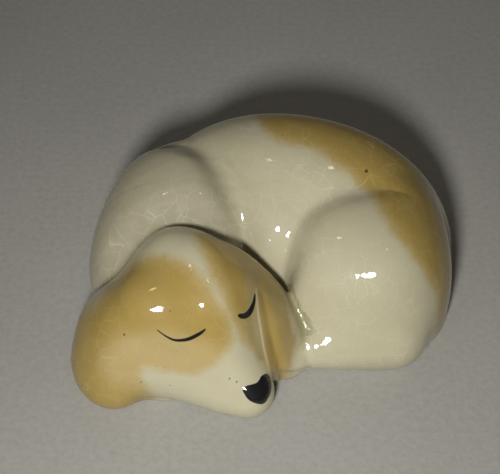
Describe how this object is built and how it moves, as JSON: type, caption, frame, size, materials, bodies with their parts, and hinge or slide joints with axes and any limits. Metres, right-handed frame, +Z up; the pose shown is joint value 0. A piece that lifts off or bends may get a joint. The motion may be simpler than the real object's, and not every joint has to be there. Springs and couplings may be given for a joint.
{
  "type": "sleeping dog figurine",
  "caption": "Small glazed ceramic puppy asleep, curled up with its head on the floor, one ear splayed and one hanging, on a flat underside.",
  "frame": {"origin": "middle of the figurine's own box, on the plane it stands on", "axes": "+X along the puppy's length towards its rump, +Y towards its back, +Z up; the head lies at -X, -Y"},
  "size_m": [0.085, 0.079, 0.0334],
  "materials": {
    "cream_glaze": "clear crazed gloss glaze over cream, with soft tan patches; bare on the underside"
  },
  "bodies": {
    "root": {"sleeping_dog": "cream_glaze"}
  },
  "joints": []
}
